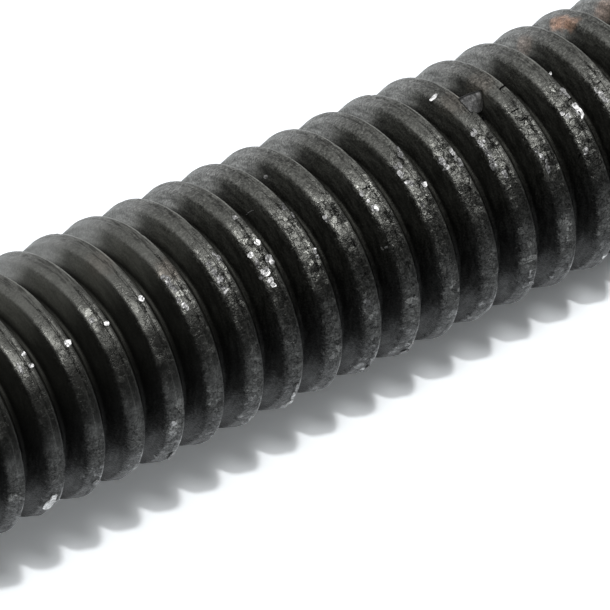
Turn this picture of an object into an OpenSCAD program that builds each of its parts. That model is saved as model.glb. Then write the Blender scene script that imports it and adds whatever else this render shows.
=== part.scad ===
// Countersunk screw: a flat head with a hexagon socket, a plain shank and a right-hand thread.
// It lies at rest, on the rim of its head and on its last full crest. Millimetres, +Z up, +X to the tip.

/* [Screw] */
// Length over all, from the flat of the head to the end of the tip
screw_l = 31.75; // [28:0.25:50]
// Diameter of the plain shank
shank_d = 4.16; // [4:0.02:4.4]

/* [Head] */
// Diameter of the head over its rim
head_d = 8.1; // [7:0.1:9.4]
// Full angle of the cone under the head
cone_angle = 82; // [74:1:100]
// Height of the straight rim above the cone
rim_h = 0.45; // [0.2:0.05:0.8]
// Bevel round the edge of the flat
rim_bevel = 0.1; // [0.04:0.02:0.16]
// Radius of the fillet where the cone runs into the shank
neck_r = 0.4; // [0.1:0.05:0.8]

/* [Drive socket] */
// Width of the hexagon across its flats
hex_w = 2.38; // [1.6:0.02:2.8]
// Depth of the hexagon's straight walls
hex_depth = 1.75; // [1:0.05:2.1]
// Full angle of the drill point below the hexagon
drill_angle = 118; // [100:1:140]
// Bevel at the mouth, beyond the hexagon's corners
mouth_bevel = 0.08; // [0.02:0.02:0.2]

/* [Thread] */
// Diameter over the crests
thread_d = 4.12; // [3.9:0.02:4.2]
// Distance from one crest to the next
pitch = 0.794; // [0.7:0.002:1]
// Length of the thread, from the end of the shank to the end of the tip
thread_l = 22.35; // [12:0.05:24]
// Depth from the crest to the root
thread_depth = 0.43; // [0.3:0.01:0.5]
// Width of the land on the crest, measured along the screw
land_w = 0.28; // [0.1:0.01:0.34]
// How far the land falls away toward the head
land_fall = 0.08; // [0:0.01:0.12]
// Width of the flat at the root
root_w = 0.08; // [0.04:0.01:0.14]
// Length over which the first roots rise to the shank
runout_l = 1.2; // [0.6:0.1:2.4]
// Bevel cut round the tip
tip_bevel = 0.55; // [0.3:0.05:0.8]
// Flat steps in one turn
turn_steps = 32; // [16:4:36]

/* [Hidden] */

steel = "dimgray";
// How far one solid runs into the next, so that they join
join = 0.2;
// Flat steps round the neck's fillet
fillet_steps = 6;

head_r = head_d / 2;
shank_r = shank_d / 2;
thread_r = thread_d / 2;
root_r = thread_r - thread_depth;
hex_r = hex_w / 2 / cos(30);

// Places along the screw, measured from the flat of the head
cone_h = (head_r - shank_r) / tan(cone_angle / 2);
neck_at = rim_h + cone_h;
thread_at = screw_l - thread_l;
bevel_at = screw_l - tip_bevel;

// The crest's radius half-way along a flat step of the thread
flat_r = thread_r * cos(180 / turn_steps);

// At rest a straight line touches the rim and the last full crest, so the tip dips by this angle
dip = atan((head_r - flat_r) / (bevel_at - rim_h));
rest_z = rim_h * sin(dip) + head_r * cos(dip);
rear_x = -(head_r - rim_bevel) * sin(dip);
front_x = screw_l * cos(dip) + (thread_r - tip_bevel) * sin(dip);

// The neck's fillet touches the cone and the shank
neck_turn = cone_angle / 2;
neck_reach = neck_r * tan(neck_turn / 2);
neck_arc = [
    for (i = [0:fillet_steps])
        let (a = neck_turn * (1 - i / fillet_steps))
        [shank_r + neck_r * (1 - cos(a)), neck_at + neck_reach - neck_r * sin(a)]
];

// One pitch of the thread, as [distance along the screw, radius], from a crest's edge to the next.
// Both flanks lean by the same angle.
flank_lean = (pitch - land_w - root_w) / (2 * thread_depth - land_fall);
root_start = thread_depth * flank_lean;
thread_form = [
    [0, thread_r],
    [root_start, root_r],
    [root_start + root_w, root_r],
    [pitch - land_w, thread_r - land_fall]
];
form_n = len(thread_form);

// Whole turns, counted so that a crest's edge is lowest exactly where the bevel starts
turns_before = ceil((bevel_at - thread_at + join) / pitch) + 1;
turns_after = ceil(tip_bevel / pitch) + 1;
form_at = bevel_at - turns_before * pitch;
last_row = form_n * (turns_before + turns_after);

// Turns at a column: a flat step, and not a corner, is lowest at rest
function turn_at(col) = (col + 0.5) / turn_steps;

// Distance along the screw of a thread point: rows run up the screw, columns round it
function point_at(row, col) =
    form_at + pitch * (floor(row / form_n) + turn_at(col)) + thread_form[row % form_n][0];

// Radius of a thread point: never below the run-out, never above the tip's bevel
function point_r(row, at) =
    let (sunk = thread_depth * min(max((at - thread_at) / runout_l, 0), 1))
    let (cut = min(max(at - bevel_at, 0), tip_bevel))
    min(max(thread_form[row % form_n][1], thread_r - sunk), thread_r - cut);

function thread_point(row, col) =
    let (at = point_at(row, col), r = point_r(row, at), a = 360 * turn_at(col))
    [r * cos(a), r * sin(a), at];

// A row's end is the start of the row one turn on, so the surface is one unbroken spiral
function index(row, col) =
    col == turn_steps ? index(row + form_n, 0)
    : row <= last_row ? row * turn_steps + col
    : (last_row + 1) * turn_steps + row - last_row - 1;

module thread_spiral() {
    ends = (last_row + 1) * turn_steps + form_n;
    points = concat(
        [for (row = [0:last_row]) for (col = [0:turn_steps - 1]) thread_point(row, col)],
        [for (row = [last_row + 1:last_row + form_n]) thread_point(row, 0)],
        [[0, 0, point_at(0, 0)], [0, 0, point_at(last_row + form_n, 0)]]
    );
    sides = [
        for (row = [0:last_row - 1]) for (col = [0:turn_steps - 1]) each [
            [index(row, col), index(row + 1, col), index(row + 1, col + 1)],
            [index(row, col), index(row + 1, col + 1), index(row, col + 1)]
        ]
    ];
    caps = [
        for (col = [0:turn_steps - 1]) each [
            [index(0, col), index(0, col + 1), ends],
            [index(last_row, col + 1), index(last_row, col), ends + 1]
        ]
    ];
    seams = [
        for (row = [0:form_n - 1]) each [
            [index(row + 1, 0), index(row, 0), ends],
            [index(last_row + row, 0), index(last_row + row + 1, 0), ends + 1]
        ]
    ];
    polyhedron(points, concat(sides, caps, seams));
}

// Threaded end, cut square at the tip and just inside the shank
module thread() {
    color(steel) intersection() {
        thread_spiral();
        translate([0, 0, thread_at - join]) cylinder(r = thread_r + join, h = thread_l + join, $fn = 64);
    }
}

// Head, cone, neck and plain shank, turned in one piece. The seam is on top, away from the rim's rest
module blank() {
    profile = concat(
        [[0, 0], [head_r - rim_bevel, 0], [head_r, rim_bevel], [head_r, rim_h]],
        neck_arc,
        [[shank_r, thread_at], [0, thread_at]]
    );
    color(steel) rotate([0, 0, 180]) rotate_extrude($fn = 64) polygon(profile);
}

// Hexagon, its drill point and the bevel at its mouth, as one cutter
module drive_socket() {
    drill_r = hex_w / 2;
    drill_h = drill_r / tan(drill_angle / 2);
    mouth_r = hex_r + mouth_bevel;
    color(steel) {
        translate([0, 0, -join]) cylinder(r = hex_r, h = hex_depth + join, $fn = 6);
        translate([0, 0, hex_depth]) cylinder(r1 = drill_r, r2 = 0, h = drill_h, $fn = 48);
        translate([0, 0, -join]) cylinder(r1 = mouth_r + join, r2 = 0, h = mouth_r + join, $fn = 48);
    }
}

module screw() {
    translate([-(rear_x + front_x) / 2, 0, rest_z]) rotate([0, 90 + dip, 0]) {
        difference() {
            blank();
            drive_socket();
        }
        thread();
    }
}

screw();
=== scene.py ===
# %% [markdown]
# # A countersunk screw in blackened steel
#
# The screw is small hardware: a flat countersunk head with a hexagon socket, a short plain shank
# and a long right-hand thread, all blackened. The part's solids arrive as a fixed frame. Four
# pieces are made around it here: the threaded end, the head with its shank, the worn marks on the
# crests, and one flake of torn metal.

import math
import random
from types import SimpleNamespace

import bmesh
import bpy
from mathutils import Matrix, Vector


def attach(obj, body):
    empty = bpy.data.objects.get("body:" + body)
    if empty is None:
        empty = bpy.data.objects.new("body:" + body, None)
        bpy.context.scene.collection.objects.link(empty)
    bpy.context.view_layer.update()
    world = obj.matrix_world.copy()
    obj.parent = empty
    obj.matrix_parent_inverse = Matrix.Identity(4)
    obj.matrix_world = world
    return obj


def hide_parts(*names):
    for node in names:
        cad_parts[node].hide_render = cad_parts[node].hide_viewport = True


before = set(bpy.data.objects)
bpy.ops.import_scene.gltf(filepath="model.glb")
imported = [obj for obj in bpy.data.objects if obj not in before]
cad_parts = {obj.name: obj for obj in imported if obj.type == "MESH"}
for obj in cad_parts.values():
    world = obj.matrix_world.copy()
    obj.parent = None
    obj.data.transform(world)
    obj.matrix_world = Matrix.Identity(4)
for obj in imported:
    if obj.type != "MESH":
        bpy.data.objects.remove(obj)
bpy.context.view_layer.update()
MM = 0.001

# %% [markdown]
# ## The sizes of the screw
#
# Every piece uses the part's own sizes, in millimetres. The screw lies on the rim of its head and
# on its last full crest, so its axis dips a little toward the tip. The dip follows from the two
# radii it rests on. One matrix takes a point from the screw's own axes to where it lies.

# %% Sizes
screw_l = 31.75
head_r = 4.05
rim_h = 0.45
rim_bevel = 0.1
shank_r = 2.08
neck_r = 0.4
cone_half_angle = math.radians(41)
thread_r = 2.06
thread_l = 22.35
pitch = 0.794
thread_depth = 0.43
tip_bevel = 0.55
runout_l = 1.2
solid_steps = 32  # a turn of the solid's thread has this many flat steps, and one lies lowest

thread_at = screw_l - thread_l
bevel_at = screw_l - tip_bevel
rest_r = thread_r * math.cos(math.pi / solid_steps)
dip = math.atan((head_r - rest_r) / (bevel_at - rim_h))
rest_z = rim_h * math.sin(dip) + head_r * math.cos(dip)
rear_x = -(head_r - rim_bevel) * math.sin(dip)
front_x = screw_l * math.cos(dip) + (thread_r - tip_bevel) * math.sin(dip)

# The screw's own z runs from the flat of the head to the tip, and its own x points down.
lie = Matrix.Translation(Vector((-(rear_x + front_x) / 2, 0, rest_z)) * MM) @ Matrix.Rotation(
    math.radians(90) + dip, 4, "Y"
)
print("dip in degrees:", round(math.degrees(dip), 3), "axis height at the head, mm:", round(rest_z, 3))


def on_screw(along, degrees_round, radius):
    """A point given in mm in the screw's own axes, put where the screw lies, in metres."""
    angle = math.radians(degrees_round)
    return lie @ (Vector((radius * math.cos(angle), radius * math.sin(angle), along)) * MM)


# %% [markdown]
# ## Small helpers for node trees
#
# Node trees are long to write out, and a sum that takes one line on paper takes five nodes. The
# helpers here let a tree be written as arithmetic: a Value stands for one output of a node, and
# adding or multiplying Values makes the nodes that do so. The trees could also be built with one
# call for each node, but then the sums could no longer be read.


# %% Node helpers
class Value:
    """One output in a node tree. Arithmetic with it adds the nodes that work it out."""

    def __init__(self, socket):
        self.socket, self.tree = socket, socket.id_data

    def __add__(self, other):
        return maths("ADD", self, other)

    def __sub__(self, other):
        return maths("SUBTRACT", self, other)

    def __rsub__(self, other):
        return maths("SUBTRACT", other, self)

    def __mul__(self, other):
        return maths("MULTIPLY", self, other)

    def __truediv__(self, other):
        return maths("DIVIDE", self, other)

    __radd__, __rmul__ = __add__, __mul__


def link(source, socket):
    socket.id_data.links.new(getattr(source, "socket", source), socket)


def fill(node, inputs):
    """Fills a node's inputs, by name or number, with links or plain values."""
    for socket, value in dict(inputs).items():
        if isinstance(value, (Value, bpy.types.NodeSocket)):
            link(value, node.inputs[socket])
        else:
            node.inputs[socket].default_value = value
    return node


def add_node(tree, kind, inputs=(), **settings):
    """Adds a node, sets its properties and then fills its inputs."""
    node = tree.nodes.new(kind)
    for name, value in settings.items():
        setattr(node, name, value)
    return fill(node, inputs)


def output(tree, kind, inputs=(), which=0, **settings):
    """One output of a new node, by name or number."""
    return Value(add_node(tree, kind, inputs, **settings).outputs[which])


def tree_of(values):
    return next(value.tree for value in values if isinstance(value, Value))


def maths(operation, *values, clamp=False):
    tree = tree_of(values)
    return output(tree, "ShaderNodeMath", enumerate(values), operation=operation, use_clamp=clamp)


def vector_maths(operation, *values):
    """Arithmetic with vectors. A scale takes a vector and a number, and some kinds give a number."""
    inputs = {0: values[0], "Scale": values[1]} if operation == "SCALE" else enumerate(values)
    which = "Value" if operation in ("DOT_PRODUCT", "DISTANCE", "LENGTH") else "Vector"
    return output(tree_of(values), "ShaderNodeVectorMath", inputs, which, operation=operation)


def combine(x=0.0, y=0.0, z=0.0):
    return output(tree_of((x, y, z)), "ShaderNodeCombineXYZ", {"X": x, "Y": y, "Z": z})


def split(vector):
    """The x, y and z of a vector."""
    node = add_node(vector.tree, "ShaderNodeSeparateXYZ", {0: vector})
    return [Value(socket) for socket in node.outputs]


def ramp_up(value, low, high, to_low=0.0, to_high=1.0, smooth=True):
    """Maps a value from low..high to to_low..to_high, held at both ends."""
    inputs = {"Value": value, "From Min": low, "From Max": high, "To Min": to_low, "To Max": to_high}
    interpolation = "SMOOTHSTEP" if smooth else "LINEAR"
    return output(value.tree, "ShaderNodeMapRange", inputs, "Result", interpolation_type=interpolation)


def noise(place, scale, detail, roughness=0.5, which=0):
    inputs = {"Vector": place, "Scale": scale, "Detail": detail, "Roughness": roughness}
    return output(place.tree, "ShaderNodeTexNoise", inputs, which)


def new_tree(name, inputs, outputs, kind="ShaderNodeTree"):
    """A node group. Inputs map names to first values. A number or a vector gives its socket's
    kind, and None makes a socket of the kind that its name says. Outputs of a shader's group are
    numbers."""
    kinds = {float: "Float", int: "Int", tuple: "Vector"}
    tree = bpy.data.node_groups.new(name, kind)
    for socket, value in inputs.items():
        socket_type = "NodeSocket" + kinds.get(type(value), socket)
        made = tree.interface.new_socket(socket, in_out="INPUT", socket_type=socket_type)
        if value is not None:
            made.default_value = value
    for socket in outputs:
        socket_type = "NodeSocketFloat" if kind == "ShaderNodeTree" else "NodeSocket" + socket
        tree.interface.new_socket(socket, in_out="OUTPUT", socket_type=socket_type)
    given = {socket.name: Value(socket) for socket in tree.nodes.new("NodeGroupInput").outputs if socket.name}
    return tree, given, tree.nodes.new("NodeGroupOutput").inputs


# %% [markdown]
# ## The form of one turn
#
# A thread is one outline, a single pitch long, wound round the axis. The outline is a short
# polyline of (distance along the screw, radius): up the flank that faces the head, over the
# slanted land of the crest, and down the flank that faces the tip. The corners are short arcs,
# because a rolled and blackened thread has no knife edges, and the land has a shallow seam where
# the metal met as the thread was rolled.

# %% One turn of the thread
land_w = 0.28
land_fall = 0.08
root_w = 0.08
flank_lean = (pitch - land_w - root_w) / (2 * thread_depth - land_fall)
root_start = thread_depth * flank_lean
root_mid = root_start + root_w / 2
root_r = thread_r - thread_depth
land_at = pitch - land_w
seam_at, seam_w, seam_depth = 0.65, 0.09, 0.012
arc_steps = 2


def round_corners(points, radii, steps):
    """Replaces each inner corner of a polyline with an arc of the given radius."""
    rounded = [Vector(points[0])]
    for before, corner, after, radius in zip(points, points[1:], points[2:], radii):
        corner = Vector(corner)
        to_before = (Vector(before) - corner).normalized()
        to_after = (Vector(after) - corner).normalized()
        half = to_before.angle(to_after) / 2
        reach = radius / math.tan(half)
        centre = corner + (to_before + to_after).normalized() * radius / math.sin(half)
        start, end = corner + to_before * reach, corner + to_after * reach
        for i in range(steps + 1):
            spoke = (start - centre).lerp(end - centre, i / steps).normalized()
            rounded.append(centre + spoke * radius)
    rounded.append(Vector(points[-1]))
    return rounded


def on_land(share, sink=0.0):
    return (land_at + land_w * share, thread_r - land_fall * (1 - share) - sink)


form_corners = [
    (root_mid, root_r),
    (root_start + root_w, root_r),
    on_land(0),
    on_land(seam_at - seam_w),
    on_land(seam_at, seam_depth),
    on_land(seam_at + seam_w),
    on_land(1),
    (pitch + root_start, root_r),
    (pitch + root_mid, root_r),
]
corner_radii = [0.06, 0.07, 0.03, 0.02, 0.03, 0.04, 0.06]
form = round_corners(form_corners, corner_radii, arc_steps)
print("points in one turn's form:", len(form))

# %% [markdown]
# ## Winding the thread with Geometry Nodes
#
# The thread follows a rule, so Geometry Nodes wind it. A grid has one row for each point of the
# form and one column for each small step round the axis. Each grid point looks up its form
# point, moves along the screw by one pitch a turn, and goes out to its radius. The run-out
# holds the first roots up, the bevel cuts the crests at the tip, and a seeded noise nicks the
# crest's edges. The last row of one turn lies exactly on the first row of the next, so merging
# closes the spiral, and two fans close its ends.


# %% Winding tree
nicks_per_mm = 6.5
merge_within = 0.0015


def wind_thread_tree():
    inputs = {
        "Geometry": None, "Form points": 24, "Steps per turn": 180, "Turns": 32, "Pitch": 0.8,
        "First turn at": 0.0, "Start": 9.0, "End": 30.0, "Crest radius": 2.0, "Root depth": 0.4,
        "Run-out": 1.0, "Tip bevel": 0.5, "Nick depth": 0.02, "Seed": 0.0, "Material": None,
    }
    tree, given, out = new_tree("wind the thread", inputs, ["Geometry"], "GeometryNodeTree")
    points, steps, start, end = (given[name] for name in ("Form points", "Steps per turn", "Start", "End"))
    crest_r, depth, nick_depth = (given[name] for name in ("Crest radius", "Root depth", "Nick depth"))
    columns = given["Turns"] * steps + 1.0
    grid_size = {"Size X": 1.0, "Size Y": 1.0, "Vertices X": columns, "Vertices Y": points}
    grid = output(tree, "GeometryNodeMeshGrid", grid_size, "Mesh")
    index = output(tree, "GeometryNodeInputIndex")
    column = maths("FLOOR", (index + 0.5) / points)
    row = maths("ROUND", index - column * points)
    turn = column / steps

    place = output(tree, "GeometryNodeInputPosition")
    look_up = {"Geometry": given["Geometry"], "Value": place, "Index": row}
    form_point = output(tree, "GeometryNodeSampleIndex", look_up, data_type="FLOAT_VECTOR", domain="POINT")
    form_across, form_r, _ = split(form_point)
    free_along = given["First turn at"] + form_across + given["Pitch"] * turn
    along = maths("MINIMUM", maths("MAXIMUM", free_along, start), end)

    # The angle starts anew each turn, so a turn's last step is exactly the first of the next.
    whole_turn = maths("FLOOR", (column + 0.5) / steps)
    angle = (column - whole_turn * steps) / steps * (2 * math.pi)
    cosine, sine = maths("COSINE", angle), maths("SINE", angle)

    # Nicks: a noise read on the surface, kept to the crest and away from both ends.
    crest = ramp_up((form_r - (crest_r - depth)) / depth, 0.7, 1.0)
    on_cylinder = combine(cosine * crest_r, sine * crest_r, along + given["Seed"])
    wear = noise(on_cylinder, nicks_per_mm / MM, 3.0, 0.6)
    nick = ramp_up(wear, 0.56, 0.72) * (nick_depth * crest)
    swell = (wear - 0.5) * (nick_depth * 0.4)
    inside = ramp_up(along - start, 0.0, 0.4 * MM) * ramp_up(end - along, 0.02 * MM, 0.15 * MM)
    rough_r = form_r + inside * (swell - nick)

    # The run-out at the start and the bevel at the tip.
    floor_r = crest_r - depth * ramp_up((along - start) / given["Run-out"], 0.0, 1.0, smooth=False)
    cut_r = crest_r - maths("MAXIMUM", along - (end - given["Tip bevel"]), 0.0)
    radius = maths("MINIMUM", maths("MAXIMUM", rough_r, floor_r), cut_r)

    # Where each point is on the form is kept before points are merged, for the steel's lines.
    keep = tree.nodes.new("GeometryNodeCaptureAttribute")
    for name in ("across", "round"):
        keep.capture_items.new("FLOAT", name)
    fill(keep, {0: grid, 1: form_across, 2: turn * (crest_r * (2 * math.pi))})
    wound = combine(radius * cosine, radius * sine, along)
    moved = output(tree, "GeometryNodeSetPosition", {"Geometry": keep.outputs[0], "Position": wound})
    unwound = combine(Value(keep.outputs[2]) / MM, Value(keep.outputs[1]) / MM)
    mapped = output(
        tree, "GeometryNodeStoreNamedAttribute",
        {"Geometry": moved, "Name": "unwound", "Value": unwound}, data_type="FLOAT2", domain="CORNER",
    )

    # Two fans close the ends. The one at the start looks the other way.
    joined = tree.nodes.new("GeometryNodeJoinGeometry")
    link(output(tree, "GeometryNodeFlipFaces", {0: mapped}), joined.inputs[0])
    for end_at, end_r, flipped in ((start, crest_r, True), (end, crest_r - given["Tip bevel"], False)):
        rim = {"Vertices": steps, "Radius": end_r}
        fan = output(tree, "GeometryNodeMeshCircle", rim, fill_type="TRIANGLE_FAN")
        fan = output(tree, "GeometryNodeTransform", {"Geometry": fan, "Translation": combine(z=end_at)})
        if flipped:
            fan = output(tree, "GeometryNodeFlipFaces", {0: fan})
        link(fan, joined.inputs[0])
    loose = {"Geometry": joined.outputs[0], "Distance": merge_within * MM}
    closed = output(tree, "GeometryNodeMergeByDistance", loose)
    real = output(tree, "GeometryNodeRealizeInstances", {0: closed})
    steel = {"Geometry": real, "Material": given["Material"]}
    link(output(tree, "GeometryNodeSetMaterial", steel), out[0])
    return tree


# %% [markdown]
# ## Shared effects of the steel
#
# All pieces are one blackened steel, so what happens to that finish is made once, as node
# groups. The coat is a crust: where metal was pressed hard it has broken into small plates,
# each tilted its own way, with cracks between them. Elsewhere it is soft and sooty, with fine
# lines drawn along the screw's turn. Each group puts out only values that change over the
# surface, with heights in millimetres, and the materials give each group their own settings.

# %% Shared groups
MIDDLE = (0.5, 0.5, 0.5)


def in_mm(place):
    return vector_maths("SCALE", place, 1 / MM)


def broken_coat_group():
    """Plates of the coat: their tilted faces as a height, the cracks between them, and a tone for each."""
    inputs = {"Place": (0, 0, 0), "Plates per mm": 22.0, "Tilt": 0.7, "Ragged": 0.012}
    tree, given, out = new_tree("broken coat", inputs, ["Plates", "Cracks", "Tone"])
    place = in_mm(given["Place"])
    shove = vector_maths("SUBTRACT", noise(place, 40.0, 1.0, which="Color"), MIDDLE)
    ragged = vector_maths("ADD", place, vector_maths("SCALE", shove, given["Ragged"]))
    cells = {"Vector": ragged, "Scale": given["Plates per mm"]}
    plate = add_node(tree, "ShaderNodeTexVoronoi", cells).outputs
    edge = output(tree, "ShaderNodeTexVoronoi", cells, "Distance", feature="DISTANCE_TO_EDGE")
    lean = vector_maths("SUBTRACT", Value(plate["Color"]), MIDDLE)
    from_middle = vector_maths("SUBTRACT", ragged, plate["Position"])
    link(vector_maths("DOT_PRODUCT", lean, from_middle) * given["Tilt"], out["Plates"])
    link(ramp_up(edge, 0.0, 0.1, 1.0, 0.0), out["Cracks"])
    link(output(tree, "ShaderNodeSeparateColor", {0: plate["Color"]}), out["Tone"])
    return tree


def soot_group():
    """Soft clouds where the coat lies thicker, and its fine grain, like dust."""
    inputs = {"Place": (0, 0, 0), "Clouds per mm": 1.5, "Grain per mm": 30.0}
    tree, given, out = new_tree("soot", inputs, ["Clouds", "Grain"])
    place = in_mm(given["Place"])
    for name in ("Clouds", "Grain"):
        link(noise(place, given[name + " per mm"], 3.0, 0.6), out[name])
    return tree


def turn_lines_group():
    """Fine lines drawn round the screw. Unwound is (distance round, distance along), in mm."""
    inputs = {"Unwound": (0, 0, 0), "Lines per mm": 28.0, "Length in mm": 0.9, "Slant": 0.0}
    tree, given, out = new_tree("turn lines", inputs, ["Lines"])
    round_mm, along_mm, _ = split(given["Unwound"])
    aslant = along_mm + round_mm * given["Slant"]
    stretched = combine(round_mm / given["Length in mm"], aslant * given["Lines per mm"])
    link(noise(stretched, 1.0, 2.0, 0.6), out["Lines"])
    return tree


def heat_tint_group():
    """A soft ragged spot round a centre: 1 in its middle, 0 past its reach in mm."""
    inputs = {"Place": (0, 0, 0), "Centre": (0, 0, 0), "Reach": 0.3}
    tree, given, out = new_tree("heat tint", inputs, ["Tint"])
    far = vector_maths("DISTANCE", given["Place"], given["Centre"]) / MM / given["Reach"]
    ragged = far + (noise(in_mm(given["Place"]), 9.0, 3.0) * 0.8 - 0.4)
    link(ramp_up(ragged, 0.35, 1.0, 1.0, 0.0), out["Tint"])
    return tree


broken_coat, soot, turn_lines, heat_tint = (
    broken_coat_group(), soot_group(), turn_lines_group(), heat_tint_group()
)
print("shared groups:", [group.name for group in (broken_coat, soot, turn_lines, heat_tint)])

# %% [markdown]
# ## What all the steels share
#
# The coat is a dark oxide that still reflects like metal, so every steel here is a metallic
# shader whose base colour is how much it reflects. Black paint over a matt base would lose that
# soft sheen. The thread's colour also carries painted light and shade that change from side to
# side, so the helpers also say which way the surface faces round the screw's axis.


# %% Steel helpers
def use_group(group, place, **settings):
    """The outputs of a shared group, by name. A setting such as lines_per_mm is Lines per mm."""
    node = add_node(place.tree, "ShaderNodeGroup", {0: place}, node_tree=group)
    fill(node, {name.capitalize().replace("_", " "): value for name, value in settings.items()})
    return {socket.name: Value(socket) for socket in node.outputs}


def start_material(name):
    """A new material and the place on the surface."""
    material = bpy.data.materials.new(name)
    material.use_nodes = True
    return material, output(material.node_tree, "ShaderNodeTexCoord", which="Object")


def finish_steel(color, roughness, height, strength=1.0):
    """Wires the metallic shader. Color is the share of red, green and blue that it reflects."""
    bump = {"Strength": strength, "Distance": MM, "Height": height}
    fill(height.tree.nodes["Principled BSDF"], {
        "Base Color": output(height.tree, "ShaderNodeCombineColor", enumerate(color)),
        "Metallic": 1.0,
        "Roughness": roughness,
        "Normal": output(height.tree, "ShaderNodeBump", bump),
    })


def mix(factor, a, b):
    return output(factor.tree, "ShaderNodeMix", {"Factor": factor, "A": a, "B": b})


def band(value, middle, half_width, fade):
    """1 within half_width of the middle, fading to 0."""
    return ramp_up(maths("ABSOLUTE", value - middle), half_width, half_width + fade, 1.0, 0.0)


def around(value, spread):
    """1 on average, more or less by the spread as a 0..1 value varies about its middle."""
    return (value * 2.0 - 1.0) * spread + 1.0


def own_axes(place):
    """The place in the screw's own axes, in mm."""
    lying = {"Vector": place, "Location": lie.translation, "Rotation": lie.to_euler()}
    return in_mm(output(place.tree, "ShaderNodeMapping", lying, vector_type="TEXTURE"))


def facing(spoke, degrees_round, edge, full, shove=0.0):
    """1 where the surface faces one side of the screw, fading to 0.

    Spoke is the direction from the axis out to the surface. Degrees run round the screw from
    straight down, by way of the far side, to straight up at 180. Edge and full are how many
    degrees away from that side the fade ends and starts. Shove is a varying value that makes the
    fade's border ragged.
    """
    side = (math.cos(math.radians(degrees_round)), math.sin(math.radians(degrees_round)), 0)
    toward = vector_maths("DOT_PRODUCT", spoke, side) + shove
    return ramp_up(toward, math.cos(math.radians(edge)), math.cos(math.radians(full)))


# %% [markdown]
# ## The blackened thread
#
# The flanks are smooth and nearly black, and the root is blackest. The crest's land is the broken
# crust, brighter where handling has rubbed it, most of all along its two shoulders. Round the
# screw the steel's colour also carries painted light and shade: a sheen on the upper side, partly
# dust, a reflection of the floor underneath, highlights on the crests' last edges and shade on the
# lower front side. The thread could wear one image of all this, but an image would blur close
# up, so each effect follows from where the surface is on the form and round the screw.

# %% Thread steel
# Where the steel kept a brown temper colour: (mm along, degrees round, radius, reach in mm, strength).
temper_spots = [
    (24.07, 147.0, 1.93, 0.21, 0.8), (24.09, 153.5, 1.95, 0.22, 0.8), (24.12, 160.0, 1.96, 0.21, 0.8),
    (23.24, 154.5, 1.85, 0.28, 0.25), (24.87, 157.0, 1.88, 0.40, 0.45), (21.80, 176.0, 1.98, 0.35, 0.14),
    (21.16, 181.0, 2.03, 0.35, 0.12), (14.90, 201.0, 2.03, 0.30, 0.16), (13.97, 183.0, 2.01, 0.35, 0.1),
]


def temper_tint(place):
    """How brown the steel is: 0 nearly everywhere, up to 1 in the middle of a spot."""
    temper = 0.0
    for along, degrees_round, radius, reach, strength in temper_spots:
        centre = on_screw(along, degrees_round, radius)
        tint = use_group(heat_tint, place, centre=centre, reach=reach)["Tint"]
        temper = maths("MULTIPLY_ADD", tint, strength, temper, clamp=True)
    return temper


def thread_effects(place):
    """The shared effects at the thread's own settings. The shove makes borders ragged."""
    unwound = output(place.tree, "ShaderNodeUVMap", uv_map="unwound")
    soft = use_group(soot, place, clouds_per_mm=1.6, grain_per_mm=30.0)
    patches = use_group(soot, place, clouds_per_mm=5.0, grain_per_mm=13.0)
    lines = use_group(turn_lines, unwound, lines_per_mm=26.0, length_in_mm=0.35, slant=0.05)
    return SimpleNamespace(
        soft=soft,
        patches=patches,
        crust=use_group(broken_coat, place, plates_per_mm=9.0, tilt=0.35, ragged=0.07),
        crumbs=use_group(broken_coat, place, plates_per_mm=27.0, tilt=0.5, ragged=0.02),
        lines=lines["Lines"],
        across=split(unwound)[1],
        shove=(soft["Grain"] - 0.5) * 0.05 + (patches["Grain"] - 0.5) * 0.10,
    )


def parts_of_form(coat):
    """Where on the form the surface is: 1 on each part of it, fading to 0."""
    ragged = coat.across + coat.shove
    past_land = ramp_up(ragged, pitch - 0.01, pitch + 0.03)
    return SimpleNamespace(
        ragged=ragged,
        land=ramp_up(ragged, land_at - 0.045, land_at + 0.015) * (1.0 - past_land),
        near_shoulder=band(ragged, land_at + 0.035, 0.02, 0.04),
        far_edge=ramp_up(ragged, pitch - 0.12, pitch - 0.01),
        last_edge=band(coat.across, pitch - 0.012, 0.008, 0.012),
        root=band(coat.across, root_mid, 0.05, 0.07),
    )


def sides_of_screw(place, shove):
    """Which side of the screw and which end of it the surface is on. The tip's flat has no side."""
    own = own_axes(place)
    along = split(own)[2]
    end_face = ramp_up(along, screw_l - 0.02, screw_l - 0.005)
    outward = vector_maths("NORMALIZE", vector_maths("MULTIPLY", own, (1, 1, 0)))
    spoke = vector_maths("SCALE", outward, 1.0 - end_face)
    rough_end = maths("MAXIMUM", ramp_up(along, 14.0, 16.8, 0.35, 1.0), facing(spoke, 300, 55, 25))
    # Painted shade: the lower front side, toward 262 degrees, is made darker in the thread's steel.
    painted_shade_side = facing(spoke, 262, 34, 12)
    return SimpleNamespace(
        spoke=spoke,
        end_face=end_face,
        rough_end=rough_end,
        quiet_end=1.0 - rough_end,
        # The upper side and the under side also carry painted light: a sheen above and the floor's reflection
        # below.
        top=facing(spoke, 138, 28, 3),
        smooth=facing(spoke, 160, 45, 26),
        # Painted shade: a band toward 238 degrees darkens the land and lightens the flanks a little.
        soot_and_shade=facing(spoke, 238, 19, 8),
        painted_shade_side=painted_shade_side,
        under=facing(spoke, 300, 26, 15, shove),
        calm=(1.0 + painted_shade_side * 0.2 - facing(spoke, 204, 30, 12) * 0.35) * rough_end,
    )


def breaks_in_coat(coat, part, side):
    """Where the coat is broken into plates, and where the seam shows."""
    clouds = coat.patches["Clouds"]
    seam = band(part.ragged, land_at + land_w * seam_at, 0.004, 0.018)
    seam = seam * ramp_up(clouds, 0.44, 0.56) * facing(side.spoke, 210, 30, 12)
    return (1.0 - side.smooth * 0.9) * ramp_up(clouds, 0.36, 0.56), seam


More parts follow.
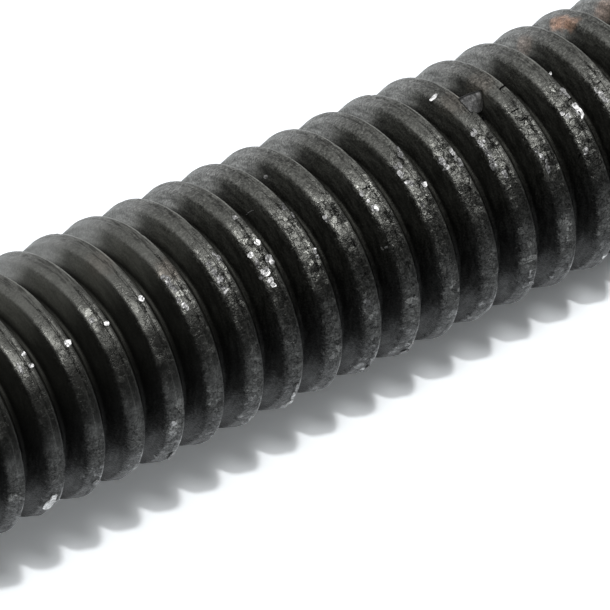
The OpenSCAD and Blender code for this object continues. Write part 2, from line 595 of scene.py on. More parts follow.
def shine_of_land(coat, part, side, fine, broken, seam):
    """Plain coat, or big plates where it is broken, with cracks, a seam and a worn shoulder."""
    plain_land = 0.088 * fine * around(coat.crumbs["Tone"], side.calm * 0.40)
    rubbed = ramp_up(coat.soft["Clouds"], 0.40, 0.64)
    few_plates = maths("POWER", coat.crust["Tone"], 3.0) * side.rough_end
    # Painted shade: bright plates are darker on the lower front side.
    bright_plate = few_plates * (rubbed * 0.36 + 0.08) * (1.0 - side.painted_shade_side * 0.4)
    big_plate = (0.10 - side.rough_end * 0.045 + bright_plate) * fine + side.painted_shade_side * 0.012
    worn_edge = part.near_shoulder * broken * rubbed * 0.10 * fine
    cracks = maths("MAXIMUM", coat.crust["Cracks"] * broken, coat.crumbs["Cracks"] * 0.25)
    dark_lines = maths("MAXIMUM", seam, side.rough_end * cracks)
    return (mix(broken, plain_land, big_plate) + worn_edge) * (1.0 - dark_lines * 0.8)


def land_round_the_screw(coat, part, side):
    """How many times brighter the land is from side to side, as painted sheen, reflection and shade, and the
    painted highlights on its last edge.
    """
    # Painted shade: the land is darker on the lower front side, and dimmer in its highlight zone toward the
    # head end.
    less = (1.0 - side.soot_and_shade * 0.5) * (1.0 - side.quiet_end * facing(side.spoke, 212, 26, 8) * 0.6)
    less = less * (1.0 - side.painted_shade_side * part.far_edge * 0.55)
    slant = ramp_up(part.ragged, land_at, pitch - 0.03, -0.5, 0.6, smooth=False)
    # Painted sheen on the upper side and a painted reflection of the floor on the lower far edges make the
    # land brighter.
    more = 1.0 + side.top * (part.far_edge * 0.3 + 1.2) + side.under * part.far_edge * 0.9
    more = more + side.smooth * 0.18 + facing(side.spoke, 270, 36, 18) * slant
    streaks = ramp_up(coat.lines, 0.38, 0.56, 1.0, 0.0) * facing(side.spoke, 172, 32, 14)
    streaked = streaks * ramp_up(part.ragged, land_at + 0.08, land_at + 0.16) * 0.5
    # Painted highlights on the crests' last edges, on the under side and near the top.
    painted_glints = side.under * ramp_up(coat.patches["Clouds"], 0.42, 0.56) * 0.20
    painted_glints = facing(side.spoke, 165, 28, 10) * 0.12 + painted_glints
    return less * more * (1.0 - streaked), part.last_edge * painted_glints


def shine_of_flanks(coat, part, side, fine):
    """Nearly black, with turned hairlines. It is lighter on the upper side, partly dust and partly painted
    sheen, and painted light and shade change it round the rest of the screw.
    """
    # Partly dust, partly painted sheen: the flank is lighter on the upper side, and the other side terms
    # paint light and shade.
    flank_dust_and_sheen = 0.032 * (1.0 - side.painted_shade_side * 0.5) + side.top * 0.19 + side.under * 0.015
    flank_dust_and_sheen = flank_dust_and_sheen + side.soot_and_shade * 0.008 + side.smooth * 0.006
    flank_dust_and_sheen = flank_dust_and_sheen + side.quiet_end * facing(side.spoke, 172, 38, 12) * 0.07
    hairs = around(ramp_up(coat.lines, 0.35, 0.68, smooth=False), side.rough_end * 0.40)
    return mix(part.root, flank_dust_and_sheen, 0.016) * hairs * fine


def thread_color(shine, part, side, temper):
    """Brown at the temper spots. The rest is tinted by painted light: a little warmer on the side turned up,
    and colder underneath, where the floor is reflected.
    """
    shine = shine * (temper * 0.35 + 1.0)
    # Painted light: a warmer tint on the side turned up and a colder one underneath.
    painted_warm_light = facing(side.spoke, 205, 55, 25) * mix(part.land, 0.09, 0.045)
    red, green = temper * 0.48 + 1.0, 1.01 - temper * 0.05
    blue = side.under * 0.03 + 0.98 - (painted_warm_light + temper * 0.26)
    return shine * red, shine * green, shine * blue


def blackened_thread():
    material, place = start_material("blackened thread")
    coat = thread_effects(place)
    part = parts_of_form(coat)
    side = sides_of_screw(place, coat.shove)
    broken, seam = breaks_in_coat(coat, part, side)
    fine = around(ramp_up(coat.soft["Grain"], 0.30, 0.70, smooth=False), side.calm * 0.50)

    brighter, painted_glints = land_round_the_screw(coat, part, side)
    land_shine = shine_of_land(coat, part, side, fine, broken, seam) * brighter + painted_glints
    shine = mix(part.land, shine_of_flanks(coat, part, side, fine), land_shine)
    shine = mix(side.end_face, shine, 0.07 * fine * around(coat.patches["Clouds"], 0.5))
    color = thread_color(shine, part, side, temper_tint(place))
    roughness = mix(part.land, 0.50 - side.under * 0.22, 0.40)

    plates = broken * coat.crust["Plates"] + coat.crumbs["Plates"] * side.calm * 0.5
    grooves = (coat.crust["Cracks"] * broken + seam) * 0.006
    height = part.land * (plates - grooves) + (coat.lines * 0.004 + coat.soft["Grain"] * 0.006)
    finish_steel(color, roughness, height * side.rough_end)
    return material


thread_steel = blackened_thread()
print("thread steel:", thread_steel.name, "nodes:", len(thread_steel.node_tree.nodes))

# %% [markdown]
# ## Winding the real thread
#
# On the real screw the thread is rolled: two dies press the grooves in and push the metal up into
# the crests. A rolled thread could be modelled by sweeping its outline along a helix, but a sweep
# gives no say over the run-out and the tip. The winder gets the outline as a thin line of points
# and the screw's sizes as its inputs. It is evaluated once and kept as a plain shape.


# %% Wind the thread
def mesh_object(name, mesh):
    made = bpy.data.objects.new(name, mesh)
    bpy.context.scene.collection.objects.link(made)
    return made


def plain_copy(maker, name):
    """The evaluated shape of an object with live modifiers, as an object of its own."""
    graph = bpy.context.evaluated_depsgraph_get()
    mesh = bpy.data.meshes.new_from_object(maker.evaluated_get(graph), depsgraph=graph)
    bpy.data.objects.remove(maker)
    filled = [material for material in mesh.materials if material]
    mesh.materials.clear()  # a node tree may leave an empty first slot
    for material in filled:
        mesh.materials.append(material)
    mesh.name = name
    return mesh_object(name, mesh)


def run_tree(maker, tree, values, name):
    """Runs a Geometry Nodes tree on an object, with its inputs by name, and keeps the result."""
    modifier = maker.modifiers.new(tree.name, "NODES")
    modifier.node_group = tree
    sockets = {s.name: s.identifier for s in tree.interface.items_tree if s.in_out == "INPUT"}
    for socket, value in values.items():
        modifier[sockets[socket]] = value
    return plain_copy(maker, name)


steps_per_turn = 156
start_overlap = 0.25
nick_depth, nick_seed = 0.03, 3.7
first_turn = bevel_at - pitch * math.ceil((bevel_at - thread_at + start_overlap) / pitch + 1)
turns = math.ceil((screw_l - first_turn) / pitch) + 1
form_edges = [(i, i + 1) for i in range(len(form) - 1)]
outline = bpy.data.meshes.new("form of one turn")
outline.from_pydata([(x * MM, y * MM, 0) for x, y in form], form_edges, [])
counts = {"Form points": len(form), "Steps per turn": steps_per_turn, "Turns": turns}
lengths_mm = {
    "Pitch": pitch, "First turn at": first_turn, "Start": thread_at - start_overlap, "End": screw_l,
    "Crest radius": thread_r, "Root depth": thread_depth, "Run-out": runout_l + start_overlap,
    "Tip bevel": tip_bevel, "Nick depth": nick_depth, "Seed": nick_seed,
}
lengths = {name: length * MM for name, length in lengths_mm.items()}
winder_inputs = {**counts, **lengths, "Material": thread_steel}
thread = run_tree(mesh_object("winder", outline), wind_thread_tree(), winder_inputs, "threaded_end")
print("turns wound:", turns, "points:", len(thread.data.vertices))

# %% [markdown]
# ## Knocked flats
#
# Three crests were struck when the screw was tossed among others, and each has a short flat. The
# flats could be cut off with boxes, but a cut leaves a ragged rim on a fine mesh. Here the crest's
# own points are drawn in to a flat plane, so the skin stays closed. The plane is nearest to the
# axis at its middle, and its radius grows as one over the cosine to both sides.

# %% Knocked flats
# (mm along at the middle, degrees round, half the width in degrees)
knocked_flats = [(11.88, 305.0, 13.0), (13.47, 306.0, 12.5), (20.61, 306.0, 11.0)]
crest_reach = 0.3
for along, degrees_round, half in knocked_flats:
    drawn_in = 0
    for point in thread.data.vertices:
        x, y, z = point.co / MM
        off = (math.degrees(math.atan2(y, x)) - degrees_round + 180) % 360 - 180
        if abs(off) < half and abs(z - along - pitch * off / 360) < crest_reach:
            limit = thread_r * math.cos(math.radians(half)) / math.cos(math.radians(off))
            share = min(1.0, limit / math.hypot(x, y))
            drawn_in += share < 1.0
            point.co = Vector((x * share, y * share, z)) * MM
    print("flat at", along, "mm:", drawn_in, "points drawn in")


def lay_down(piece, sharp_over):
    """Puts a piece made upright where the screw lies. Edges over some degrees stay sharp."""
    piece.data.transform(lie)
    piece.data.shade_smooth()
    piece.data.set_sharp_from_angle(angle=math.radians(sharp_over))


lay_down(thread, sharp_over=50)
thread.data.calc_loop_triangles()
print("thread triangles:", len(thread.data.loop_triangles), "materials:", list(thread.data.materials))

# %% [markdown]
# ## The blackened head
#
# The head was turned and then blackened with the thread, so it shares the soot, the crumbs and
# the turned lines. Its coat lies in soft clouds, because nothing rolled it. It is a material of
# its own, since the lines here run round the axis and outward over the flat.


# %% Head steel
def blackened_head():
    material, place = start_material("blackened head")
    soft = use_group(soot, place, clouds_per_mm=0.9, grain_per_mm=26.0)
    patches = use_group(soot, place, clouds_per_mm=3.0, grain_per_mm=12.0)
    crumbs = use_group(broken_coat, place, plates_per_mm=20.0, tilt=0.4, ragged=0.02)
    own_x, own_y, own_z = split(own_axes(place))
    from_flat = vector_maths("LENGTH", combine(own_x, own_y)) + own_z
    unwound = combine(patches["Clouds"], from_flat)
    lines = use_group(turn_lines, unwound, lines_per_mm=16.0, length_in_mm=0.5)["Lines"]

    shine = ramp_up(soft["Clouds"], 0.35, 0.68) * 0.05 + 0.045
    for value, spread in ((soft["Grain"], 0.5), (lines, 0.35), (crumbs["Tone"], 0.2)):
        shine = shine * around(value, spread)
    height = crumbs["Plates"] * 0.5 + (lines * 0.004 + soft["Grain"] * 0.006)
    finish_steel((shine, shine, shine), 0.42, height)
    return material


head_steel = blackened_head()
print("head steel:", head_steel.name, "nodes:", len(head_steel.node_tree.nodes))

# %% [markdown]
# ## Head and shank
#
# The head, the cone under it, the neck's fillet and the plain shank were turned in one piece, so
# they are one outline spun round the axis. The hexagon socket was pressed in from the flat and
# is cut out of the spun shape. It has the point of the drill at its bottom and a bevel at its
# mouth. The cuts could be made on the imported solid, but the spun blank is far rounder.

# %% Head and shank
hex_flats = 2.38
hex_sides = 6
hex_depth = 1.75
drill_point_half = math.radians(59)
mouth_bevel = 0.08
hex_inner_r = hex_flats / 2
hex_r = hex_inner_r / math.cos(math.pi / hex_sides)
drill_r = 0.995 * hex_inner_r
drill_h = hex_inner_r / math.tan(drill_point_half)
mouth_r = hex_r + mouth_bevel
neck_at = rim_h + (head_r - shank_r) / math.tan(cone_half_angle)
neck_steps = 10
shank_end_l, shank_end_fall = 0.08, 0.03
socket_past, mouth_past = 0.5, 0.3  # how far the cutters stand out of the head's flat
spun_steps, mouth_steps = 192, 96


def spin_outline(name, outline_points, steps):
    """Spins (along, radius) points round the screw's axis into a closed shape."""
    shape = bmesh.new()
    rings = []
    for along, radius in outline_points:
        turn = [2 * math.pi * i / steps for i in range(steps if radius > 0 else 1)]
        rings.append([
            shape.verts.new((radius * MM * math.cos(a), radius * MM * math.sin(a), along * MM)) for a in turn
        ])
    for a, b in zip(rings, rings[1:]):
        for i in range(steps):
            j = (i + 1) % steps
            corners = [a[i % len(a)], a[j % len(a)], b[j % len(b)], b[i % len(b)]]
            unique = list(dict.fromkeys(corners))
            if len(unique) > 2:
                shape.faces.new(unique)
    bmesh.ops.recalc_face_normals(shape, faces=shape.faces)
    mesh = bpy.data.meshes.new(name)
    shape.to_mesh(mesh)
    shape.free()
    return mesh_object(name, mesh)


def neck_point(share):
    """A point of the fillet between the cone, at share 0, and the shank, at share 1."""
    angle = cone_half_angle * (1 - share)
    fillet_l = neck_r * math.tan(cone_half_angle / 2)
    return (neck_at + fillet_l - neck_r * math.sin(angle), shank_r + neck_r * (1 - math.cos(angle)))


head_outline = [
    (0, 0), (0, head_r - rim_bevel), (rim_bevel, head_r), (rim_h, head_r),
    *(neck_point(i / neck_steps) for i in range(neck_steps + 1)),
    (thread_at - shank_end_l, shank_r), (thread_at, shank_r - shank_end_fall), (thread_at, 0),
]
blank = spin_outline("head_and_shank", head_outline, spun_steps)
socket_outline = [
    (-socket_past, 0), (-socket_past, hex_r), (hex_depth, hex_r), (hex_depth, drill_r),
    (hex_depth + drill_h, 0),
]
mouth_outline = [(-mouth_past, 0), (-mouth_past, mouth_r + mouth_past), (mouth_r, 0)]
socket_cut = spin_outline("socket cut", socket_outline, hex_sides)
mouth_cut = spin_outline("mouth cut", mouth_outline, mouth_steps)
for cutter in (socket_cut, mouth_cut):
    cut = blank.modifiers.new(cutter.name, "BOOLEAN")
    cut.operation, cut.solver, cut.object = "DIFFERENCE", "EXACT", cutter
head = plain_copy(blank, "head_and_shank")
for cutter in (socket_cut, mouth_cut):
    bpy.data.objects.remove(cutter)
lay_down(head, sharp_over=30)
head.data.materials.clear()
head.data.materials.append(head_steel)
print("head and shank faces:", len(head.data.polygons), "neck starts at, mm:", round(neck_at, 3))

# %% [markdown]
# ## Bare steel
#
# Where the coat is off, the steel is bright, but it has a film of soot and fine scratches of its
# own. How bright each facet is comes with its shape, so one steel serves them all.


# %% Bare steel
def bare_steel():
    material, place = start_material("bare steel")
    crumbs = use_group(broken_coat, place, plates_per_mm=24.0, tilt=0.25, ragged=0.02)
    soot_and_shade = use_group(soot, place, clouds_per_mm=9.0, grain_per_mm=26.0)
    shine = output(place.tree, "ShaderNodeAttribute", which="Fac", attribute_name="shine")
    for value in (soot_and_shade["Clouds"], soot_and_shade["Grain"]):
        shine = shine * ramp_up(value, 0.32, 0.66, 0.65, 1.3)
    shine = shine * (crumbs["Tone"] * 0.6 + 0.7)
    finish_steel((shine, shine, shine), 0.46, crumbs["Plates"], strength=0.6)
    return material


bare = bare_steel()
print("bare steel:", bare.name, "nodes:", len(bare.node_tree.nodes))

# %% [markdown]
# ## Setting the plates
#
# A facet is a thin flat plate with rounded corners and a ragged edge. Geometry Nodes set one on
# each point, turned and sized as the point says. Where many plates make one patch, each leans
# and swings a little its own way. Plates could be placed one by one, but a rule treats all alike.


# %% Plate setting tree
frays_per_mm = 14.0


def set_plates_tree():
    inputs = {
        "Geometry": None, "Corner pull": 0.25, "Ragged": 0.01, "Lean": 0.05, "Swing": 0.3, "Seed": 0,
        "Material": None,
    }
    tree, given, out = new_tree("set plates", inputs, ["Geometry"], "GeometryNodeTree")

    def kept(name, kind):
        return output(tree, "GeometryNodeInputNamedAttribute", {"Name": name}, data_type=kind)

    # One plate: a flat block whose four corners are pulled in.
    block_size = {"Size": (1, 1, 1), "Vertices X": 5, "Vertices Y": 4, "Vertices Z": 2}
    block = output(tree, "GeometryNodeMeshCube", block_size, "Mesh")
    here = output(tree, "GeometryNodeInputPosition")
    x, y, z = split(here)
    pull = 1.0 - maths("POWER", x, 2.0) * maths("POWER", y, 2.0) * 16.0 * given["Corner pull"]
    rounded = {"Geometry": block, "Position": combine(x * pull, y * pull, z)}
    plate = output(tree, "GeometryNodeSetPosition", rounded)

    # Each plate is turned as it was laid, and then jogged by chance.
    most = combine(given["Lean"], given["Lean"], given["Swing"])
    least = vector_maths("SCALE", most, -1.0)
    chances = {"Min": least, "Max": most, "Seed": given["Seed"]}
    free_jog = output(tree, "FunctionNodeRandomValue", chances, data_type="FLOAT_VECTOR")
    jog = vector_maths("SCALE", free_jog, kept("loose", "FLOAT"))
    laid = output(tree, "FunctionNodeEulerToRotation", {0: kept("laid", "FLOAT_VECTOR")})
    turned = {0: laid, 1: output(tree, "FunctionNodeEulerToRotation", {0: jog})}
    jogged = output(tree, "FunctionNodeRotateRotation", turned, rotation_space="LOCAL")
    settings = {
        "Points": given["Geometry"], "Instance": plate, "Rotation": jogged,
        "Scale": kept("size", "FLOAT_VECTOR"),
    }
    set_down = output(tree, "GeometryNodeInstanceOnPoints", settings)
    real = output(tree, "GeometryNodeRealizeInstances", {0: set_down})

    # A noise frays the edges.
    fray = vector_maths("SUBTRACT", noise(here, frays_per_mm / MM, 1.0, which="Color"), MIDDLE)
    frayed = {"Geometry": real, "Offset": vector_maths("SCALE", fray, given["Ragged"])}
    ragged = output(tree, "GeometryNodeSetPosition", frayed)
    steel = {"Geometry": ragged, "Material": given["Material"]}
    link(output(tree, "GeometryNodeSetMaterial", steel), out[0])
    return tree


# %% [markdown]
# ## Worn marks
#
# Handling has left small bare facets where the coat came off the crests, thin bright rims low on
# the crests, and short cracks across the lands. Each row of the table is one patch: where it is,
# its length and width, how it is turned, how bright its steel is and how many facets it has. A
# patch of many facets scatters them by seeded chance.

# %% Worn marks
# (mm along, degrees round, long mm, wide mm, degrees off the turn, shine, facets)
worn_patches = [
    # the long silver streak
    (14.78, 209, 0.5, 0.11, 0, 0.22, 11),
    (14.84, 219, 0.15, 0.11, 0, 0.32, 2),
    # two chips with a crack between them
    (22.92, 209, 0.12, 0.11, 0, 0.62, 1),
    (22.93, 212.5, 0.21, 0.12, 0, 0.64, 1),
    (22.88, 203, 0.27, 0.09, 0, 0.27, 5),
    # a cluster of flat facets
    (16.41, 220.5, 0.15, 0.15, 0, 0.4, 1),
    (16.43, 225, 0.11, 0.11, 0, 0.46, 1),
    (16.45, 227.5, 0.08, 0.09, 0, 0.36, 1),
    (16.32, 222, 0.08, 0.07, 0, 0.26, 1),
    (16.55, 215.5, 0.11, 0.11, 0, 0.32, 2),
    (16.57, 217.5, 0.08, 0.09, 0, 0.52, 1),
    (16.52, 206.5, 0.1, 0.09, 67, 0.56, 1),
    (16.32, 210.5, 0.1, 0.09, 0, 0.44, 1),
    (16.5, 190.5, 0.13, 0.11, 62, 0.36, 2),
    # rubbed shoulders
    (19.53, 205.5, 0.4, 0.13, 0, 0.22, 9),
    (18.71, 212, 0.23, 0.15, 0, 0.34, 4),
    (15.59, 215.5, 0.44, 0.09, 0, 0.17, 8),
    (20.28, 210, 0.4, 0.07, 0, 0.22, 8),
    (23.49, 208.5, 0.33, 0.07, 0, 0.24, 7),
    (21.09, 202.5, 0.26, 0.11, 0, 0.24, 5),
    (21.12, 218.5, 0.2, 0.15, 0, 0.27, 5),
    (21.16, 225, 0.15, 0.15, 0, 0.36, 3),
    (21.96, 222, 0.2, 0.11, 0, 0.28, 4),
    (21.09, 211.5, 0.3, 0.07, 0, 0.2, 5),
    (17.3, 198.5, 0.29, 0.11, 0, 0.17, 5),
    (20.5, 208, 0.33, 0.06, 0, 0.2, 6),
    (15.75, 206, 0.17, 0.09, 0, 0.16, 3),
    (19.68, 195.5, 0.19, 0.08, 0, 0.17, 3),
    (22.77, 230, 0.13, 0.11, 0, 0.25, 2),
    (19.57, 221.5, 0.15, 0.07, 0, 0.2, 2),
    (17.88, 209, 0.13, 0.07, 0, 0.26, 1),
    (16.35, 216, 0.16, 0.07, 0, 0.2, 3),
    (15.56, 204.5, 0.17, 0.06, 0, 0.19, 2),
    (22.01, 229, 0.16, 0.11, 0, 0.22, 3),
    # single bright chips
    (19.74, 213.5, 0.1, 0.09, 0, 0.6, 1),
    (14.15, 208.5, 0.1, 0.09, 0, 0.5, 1),
    (13.37, 212.5, 0.08, 0.09, 0, 0.48, 1),
    (12.58, 213.5, 0.12, 0.11, 0, 0.4, 1),
    (11.64, 214.5, 0.12, 0.08, 0, 0.24, 2),
    (11.77, 210, 0.08, 0.08, 0, 0.28, 1),
    (11.79, 216, 0.08, 0.08, 0, 0.25, 1),
    (13.2, 209, 0.15, 0.07, 0, 0.26, 2),
    (14.15, 273.5, 0.12, 0.11, -27, 0.3, 1),
    (18.68, 205, 0.1, 0.07, 0, 0.26, 1),
    (21.4, 280.5, 0.2, 0.09, 0, 0.25, 1),
    (21.47, 287.5, 0.08, 0.13, -55, 0.3, 1),
    (22.68, 209, 0.08, 0.07, 0, 0.27, 1),
    (22.73, 211.5, 0.08, 0.09, 0, 0.36, 1),
    (17.37, 221, 0.1, 0.07, 0, 0.28, 1),
    (17.37, 224, 0.07, 0.06, 0, 0.3, 1),
    (20.99, 171.5, 0.17, 0.07, 84, 0.8, 1),
    (23.19, 179, 0.09, 0.07, 26, 0.75, 1),
    (17.68, 167, 0.08, 0.06, 45, 0.3, 1),
    (18.66, 233.5, 0.07, 0.03, 52, 0.35, 1),
    (18.7, 233.5, 0.06, 0.03, -85, 0.35, 1),
    (18.07, 253, 0.22, 0.12, 0, 0.13, 3),
    # bare rims low on the crests
    (11.84, 296, 0.36, 0.17, -1, 0.75, 1),
    (11.89, 290.5, 0.26, 0.2, -4, 0.8, 1),
    (16.77, 309.5, 0.21, 0.11, 2, 0.4, 1),
    (16.77, 303.5, 0.24, 0.1, 6, 0.55, 1),
    (16.71, 294.5, 0.25, 0.06, 7, 0.5, 1),
    (16.69, 287, 0.21, 0.05, 6, 0.3, 1),
    (19.14, 306, 0.25, 0.11, 7, 0.3, 1),
    (19.14, 298, 0.21, 0.07, 4, 0.34, 1),
    (14.38, 303, 0.37, 0.12, 10, 0.3, 1),
    (12.73, 292.5, 0.15, 0.12, -15, 0.26, 1),
    (18.36, 305.5, 0.46, 0.08, 16, 0.16, 1),
    # cracks and dark seams, and a dark plate painted as the shade beside the flake's tip
    (22.03, 185, 0.13, 0.03, -89, 0.004, 1),
    (21.95, 198.5, 0.19, 0.02, -89, 0.004, 1),
    (21.96, 204, 0.13, 0.02, -85, 0.004, 1),
    (22.94, 211.5, 0.09, 0.03, -50, 0.004, 1),
    (22.91, 205, 0.09, 0.02, -85, 0.004, 1),
    (22.67, 231, 0.1, 0.02, -56, 0.004, 1),
    (21.16, 216.5, 0.11, 0.02, -85, 0.004, 1),
    (23.55, 203, 0.12, 0.02, -76, 0.004, 1),
    # painted shade: a dark plate where the flake's tip lifts off
    (21.63, 189, 0.09, 0.1, 4, 0.004, 1),
    (18.79, 203.5, 0.17, 0.02, -85, 0.004, 1),
    # a hair caught on a flank
    (16.92, 186, 0.19, 0.012, 80, 0.28, 1),
]
plate_thickness = 0.016
clear_of_thread = 3.0
chance = random.Random(7)


def surface_at(along, degrees_round):
    """The thread's surface and its normal, found by looking in from outside."""
    outside = on_screw(along, degrees_round, clear_of_thread)
    inward = (on_screw(along, degrees_round, 0.0) - outside).normalized()
    hit, place, normal, _ = thread.ray_cast(outside, inward)
    return (place, normal) if hit else None


def laid_flat(normal, degrees_round, off_turn):
    """How a plate is turned to lie on the surface with its length along the thread's turn."""
    angle = math.radians(degrees_round)
    round_way = lie.to_3x3() @ Vector((-math.sin(angle), math.cos(angle), 0))
    along_way = lie.to_3x3() @ Vector((0, 0, 1))
    heading = round_way * math.cos(off_turn) + along_way * math.sin(off_turn)
    heading = (heading - normal * heading.dot(normal)).normalized()
    return Matrix((heading, normal.cross(heading), normal)).transposed().to_euler()


bpy.context.view_layer.update()
facets = []
for along, degrees_round, long, wide, off_turn, shine, count in worn_patches:
    off_turn = math.radians(off_turn)
    for _ in range(count):
        go_round = go_across = 0.0
        plate_long, plate_wide, plate_shine, loose = long, wide, shine, 0.2
        if count > 1:
            go_round, go_across = chance.uniform(-0.5, 0.5) * long, chance.uniform(-0.4, 0.4) * wide
            plate_long, plate_wide = chance.uniform(0.06, 0.14), chance.uniform(0.035, 0.08)
            plate_shine, loose = shine * chance.uniform(0.45, 1.15), 1.0
        round_mm = go_round * math.cos(off_turn) - go_across * math.sin(off_turn)
        more_degrees = math.degrees(round_mm / thread_r)
        more_along = go_round * math.sin(off_turn) + go_across * math.cos(off_turn)
        more_along += pitch * more_degrees / 360
        found = surface_at(along + more_along, degrees_round + more_degrees)
        if found:
            place, normal = found
            laid = laid_flat(normal, degrees_round + more_degrees, off_turn)
            size = Vector((plate_long, plate_wide, plate_thickness)) * MM
            facets.append((place, laid, size, plate_shine, loose))

dots = bpy.data.meshes.new("worn marks")
dots.from_pydata([facet[0] for facet in facets], [], [])
for column, (name, kind, field) in enumerate((
    ("laid", "FLOAT_VECTOR", "vector"), ("size", "FLOAT_VECTOR", "vector"),
    ("shine", "FLOAT", "value"), ("loose", "FLOAT", "value"),
), start=1):
    kept_values = dots.attributes.new(name, kind, "POINT").data
    for item, facet in zip(kept_values, facets):
        setattr(item, field, facet[column])
setter_inputs = {
    "Corner pull": 0.22, "Ragged": 0.05 * MM, "Lean": 0.07, "Swing": 0.3, "Seed": 5, "Material": bare,
}
marks = run_tree(mesh_object("plate setter", dots), set_plates_tree(), setter_inputs, "worn_marks")
print("worn facets:", len(facets), "faces:", len(marks.data.polygons))

# %% [markdown]
# ## The pressed flake
#
# One tongue of metal was torn from a crest's far edge and pressed over the groove onto the next
# flank. It is a small sheet: its left side lies on the torn crest, its right side on the next
# flank, and it narrows to a round tip. Solidify gives it its thickness. Its root is painted dark,
# as the shadow along its edge, and its steel is brighter the further it is from the tear.

# %% Pressed flake
flake_rows, flake_columns = 14, 9
flake_thickness = 0.035
tip_starts = 0.72
root_rows, painted_shadow_shine, torn_shine, gain = 2, 0.02, 0.10, 0.09


def flake_point(down, across):
    """A point of the tongue: down runs 0..1 to its tip, across -1..1 from the torn crest."""
    left = (21.22, 181.0 + 13.0 * down, 2.062)
    right = (21.775 - 0.115 * down, 178.4 + 7.6 * down, 1.945 - 0.245 * down)
    into_tip = max(0.0, (down - tip_starts) / (1 - tip_starts))
    taper = math.sqrt(max(0.0, 1 - into_tip**2))
    share = 0.5 + 0.5 * across * max(taper, 0.05)
    along, degrees_round, radius = (a + (b - a) * share for a, b in zip(left, right))
    bulge = 0.02 * (1 - across**2)
    return on_screw(along, degrees_round, radius + bulge)


flake_points = [
    flake_point(i / (flake_rows - 1), 2 * j / (flake_columns - 1) - 1)
    for i in range(flake_rows) for j in range(flake_columns)
]
flake_faces = [
    (k, k + 1, k + flake_columns + 1, k + flake_columns)
    for i in range(flake_rows - 1) for k in range(i * flake_columns, (i + 1) * flake_columns - 1)
]
sheet = bpy.data.meshes.new("flake sheet")
sheet.from_pydata(flake_points, [], flake_faces)
for k, value in enumerate(sheet.attributes.new("shine", "FLOAT", "POINT").data):
    row, column = divmod(k, flake_columns)
    from_torn = column / (flake_columns - 1)
    # The root rows are painted dark, as the shadow along the flake's edge.
    value.value = painted_shadow_shine if row < root_rows else torn_shine + gain * from_torn
sheet.materials.append(bare)
torn = mesh_object("flake sheet", sheet)
thicken = torn.modifiers.new("thickness", "SOLIDIFY")
thicken.thickness, thicken.offset = flake_thickness * MM, 0.0
smoother = torn.modifiers.new("soft edge", "SUBSURF")
smoother.levels = smoother.render_levels = 1
flake = plain_copy(torn, "pressed_flake")
flake.data.shade_smooth()
print("flake faces:", len(flake.data.polygons))

# %% [markdown]
# ## The pieces and the body they ride
#
# The screw is one solid with no joint, so every piece rides the one body and stands in for the
# one solid. All of them are the same steel.

# %% Pieces
for piece in (thread, head, marks, flake):
    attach(piece, "root")
    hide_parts("screw")
    print(piece.name, "rides root, in steel")

# %% [markdown]
# ## The floor
#
# The screw lies on a plain pale floor, which holds its shadow. The floor could be left out and
# the shadow with it, but then the screw would float. Seen by the camera the floor is white.
# Seen in the steel it is painted as a pool of light: a pale sheet close to the screw that falls
# away past the lamps' reach, as a small sheet on a table does.

# %% Floor
floor_half, floor_z = 5, -1e-5  # in metres, a hair under the screw
lit_to, dark_from = 5 * MM, 25 * MM
seen_white, near_pale, far_dark = 1.4, 0.95, 0.12
front_way = (-0.6, -0.8, 0)
trace_of_blue = (0.965, 1.0, 1.025)
floor_mesh = bpy.data.meshes.new("floor")
corners = [(x * floor_half, y * floor_half, floor_z) for x, y in ((-1, -1), (1, -1), (1, 1), (-1, 1))]
floor_mesh.from_pydata(corners, [], [(0, 1, 2, 3)])
floor = mesh_object("floor", floor_mesh)
floor_paint, spot = start_material("white floor")
floor_mesh.materials.append(floor_paint)
rays = add_node(spot.tree, "ShaderNodeLightPath").outputs
to_front = vector_maths("DOT_PRODUCT", spot, front_way)
# Painted light: seen in the steel, the floor darkens past the pool that the lamps light.
past_light = ramp_up(to_front, lit_to, dark_from) * rays["Is Glossy Ray"]
paint = mix(Value(rays["Is Camera Ray"]), mix(past_light, near_pale, far_dark), seen_white)
tint = enumerate(paint * share for share in trace_of_blue)
fill(spot.tree.nodes["Principled BSDF"], {
    "Base Color": output(spot.tree, "ShaderNodeCombineColor", tint),
    "Roughness": 0.9,
    "Specular IOR Level": 0.1,
})
print("floor, m across:", floor.dimensions.x)

# %% [markdown]
# ## Lamps and surroundings
#
# Three lamps share the light of one window: a narrow one draws the shadow's notched edge, and
# two wider ones soften it, from almost overhead. One wide lamp alone would lose the notches and
# one narrow lamp alone would draw them too hard. The surroundings are brighter on one side, so
# the crests catch a long soft sheen.

# %% Lights
backdrop_way = Vector((0.44, 0.59, 0.45)).normalized()
dark_room, bright_room, on_matt = 0.04, 1.0, 0.28
# (name, share of the light, degrees wide, toward)
lamps = [
    ("key lamp", 0.34, 2.5, (-0.24, -0.365, 1)),
    ("soft box", 0.22, 12, (0.035, -0.40, 1)),
    ("sky panel", 0.16, 45, (0.035, -0.45, 1)),
]

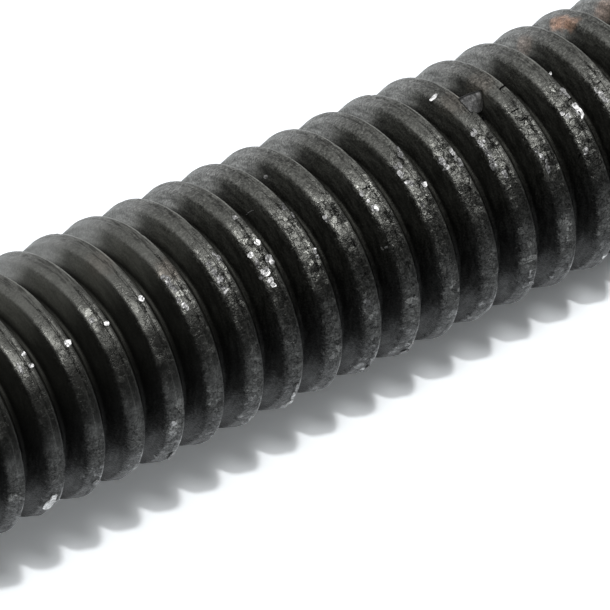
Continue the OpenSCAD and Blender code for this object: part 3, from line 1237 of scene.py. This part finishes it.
world = bpy.data.worlds.new("studio")
bpy.context.scene.world = world
world.use_nodes = True
tree = world.node_tree
rays = add_node(tree, "ShaderNodeLightPath").outputs
direction = output(tree, "ShaderNodeTexCoord", which="Generated")
toward_backdrop = vector_maths("DOT_PRODUCT", direction, backdrop_way)
mirrored = ramp_up(toward_backdrop, -0.45, 0.5, dark_room, bright_room)
strength = mix(Value(rays["Is Glossy Ray"]), on_matt, mirrored)
seen = maths("MAXIMUM", Value(rays["Is Camera Ray"]), rays["Is Transmission Ray"])
fill(tree.nodes["Background"], {"Color": (1, 1, 1, 1), "Strength": mix(seen, strength, 1.0)})

for name, share, degrees_wide, toward in lamps:
    lamp = bpy.data.lights.new(name, "SUN")
    lamp.energy, lamp.angle = share * math.pi, math.radians(degrees_wide)
    hung = bpy.data.objects.new(name, lamp)
    bpy.context.scene.collection.objects.link(hung)
    hung.rotation_mode = "QUATERNION"
    hung.rotation_quaternion = Vector(toward).to_track_quat("Z", "Y")
    print("lamp:", name, "degrees wide:", degrees_wide)

# %% [markdown]
# ## The camera
#
# A long lens looks down on the middle of the thread from the front, so the turns keep their
# width from one side to the other. A lens from close by would swell the nearest turns.

# %% Camera
camera_turn, camera_height = math.radians(36.699), math.radians(42.826)
camera_distance = 324.79
image_side, focal_pixels, sensor_side = 610, 20000, 36
aim = Vector((2.1003, -0.5109, 2.4457)) * MM
look = Vector((
    math.sin(camera_turn) * math.cos(camera_height),
    math.cos(camera_turn) * math.cos(camera_height),
    -math.sin(camera_height),
))
camera = bpy.data.cameras.new("camera")
camera.sensor_width = sensor_side
camera.lens = focal_pixels / image_side * sensor_side
camera.clip_start, camera.clip_end = 0.01, 10
camera_object = bpy.data.objects.new("camera", camera)
bpy.context.scene.collection.objects.link(camera_object)
camera_object.location = aim - look * camera_distance * MM
camera_object.rotation_mode = "QUATERNION"
camera_object.rotation_quaternion = look.to_track_quat("-Z", "Y")
bpy.context.scene.camera = camera_object
bpy.context.scene.view_settings.view_transform = "Standard"
print("camera lens, mm:", round(camera.lens), "distance, mm:", camera_distance)
